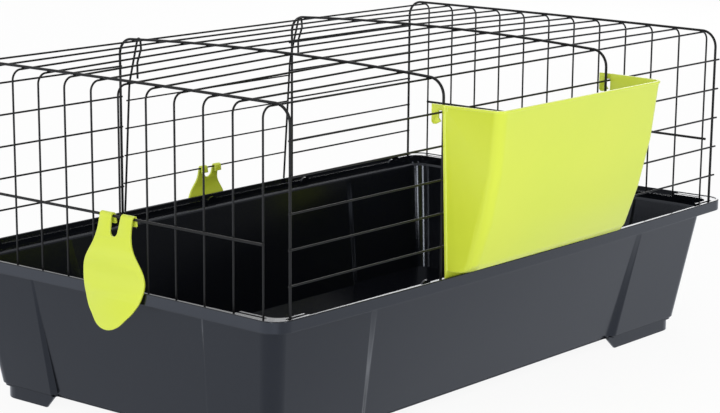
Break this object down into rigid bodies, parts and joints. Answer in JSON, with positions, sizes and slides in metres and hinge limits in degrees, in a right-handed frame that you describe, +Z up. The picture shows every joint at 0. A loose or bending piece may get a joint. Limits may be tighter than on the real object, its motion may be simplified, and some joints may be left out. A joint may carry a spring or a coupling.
{
  "type": "rabbit hutch",
  "caption": "Indoor rabbit hutch: moulded tray on feet, coated wire cover with a hinged wire door, lever clips and a hanging hay rack.",
  "frame": {"origin": "middle of the bounding box of all the pieces, on the plane of the feet", "axes": "+X along the length, +Y towards the side with the wire door, -Y towards the side with the hay rack, +Z up"},
  "size_m": [1.0246, 0.6875, 0.4573],
  "materials": {
    "tray_plastic": "moulded anthracite plastic with a low sheen",
    "wire_coating": "steel wire with a satin black coating",
    "lime_plastic": "moulded lime green plastic, semi-gloss"
  },
  "bodies": {
    "base": {"base_tray": "tray_plastic", "hoop_left_end": "wire_coating", "hoop_left_middle": "wire_coating", "hoop_right_middle": "wire_coating", "hoop_right_end": "wire_coating", "roof_wire_01": "wire_coating", "roof_wire_02": "wire_coating", "roof_wire_03": "wire_coating", "roof_wire_04": "wire_coating", "roof_wire_05": "wire_coating", "roof_wire_06": "wire_coating", "roof_wire_07": "wire_coating", "roof_wire_08": "wire_coating", "roof_wire_09": "wire_coating", "roof_wire_10": "wire_coating", "roof_wire_11": "wire_coating", "roof_wire_12": "wire_coating", "front_wire_1": "wire_coating", "front_wire_2": "wire_coating", "front_wire_3": "wire_coating", "front_wire_4": "wire_coating", "front_wire_5": "wire_coating", "back_left_wire_1": "wire_coating", "back_left_wire_2": "wire_coating", "back_left_wire_3": "wire_coating", "back_left_wire_4": "wire_coating", "back_left_wire_5": "wire_coating", "back_right_wire_1": "wire_coating", "back_right_wire_2": "wire_coating", "back_right_wire_3": "wire_coating", "back_right_wire_4": "wire_coating", "back_right_wire_5": "wire_coating", "end_bar_left": "wire_coating", "end_bar_right": "wire_coating"},
    "door": {"door_leg_left": "wire_coating", "door_leg_right": "wire_coating", "door_rail_1": "wire_coating", "door_rail_2": "wire_coating", "door_rail_3": "wire_coating", "door_rail_4": "wire_coating"},
    "clip_left": {"clip_left": "lime_plastic"},
    "clip_right": {"clip_right": "lime_plastic"},
    "clip_door": {"clip_door": "lime_plastic"},
    "hay_rack": {"hay_rack": "lime_plastic"}
  },
  "joints": [
    {"name": "door_hinge", "type": "hinge", "parent": "base", "child": "door", "pos_m": [0, 0.29133, 0.44504], "axis": [1, 0, 0], "range_deg": [0, 100]},
    {"name": "clip_left_hinge", "type": "hinge", "parent": "base", "child": "clip_left", "pos_m": [-0.48712, 0.00933, 0.285], "axis": [0, 1, 0], "range_deg": [0, 100]},
    {"name": "clip_right_hinge", "type": "hinge", "parent": "base", "child": "clip_right", "pos_m": [0.48712, 0.00933, 0.285], "axis": [0, -1, 0], "range_deg": [0, 100]},
    {"name": "clip_door_hinge", "type": "hinge", "parent": "door", "child": "clip_door", "pos_m": [0.005, 0.3237, 0.24], "axis": [1, 0, 0], "range_deg": [0, 90]},
    {"name": "hay_rack_lift", "type": "slide", "parent": "base", "child": "hay_rack", "axis": [0, 0, 1], "range_m": [0, 0.03]}
  ]
}
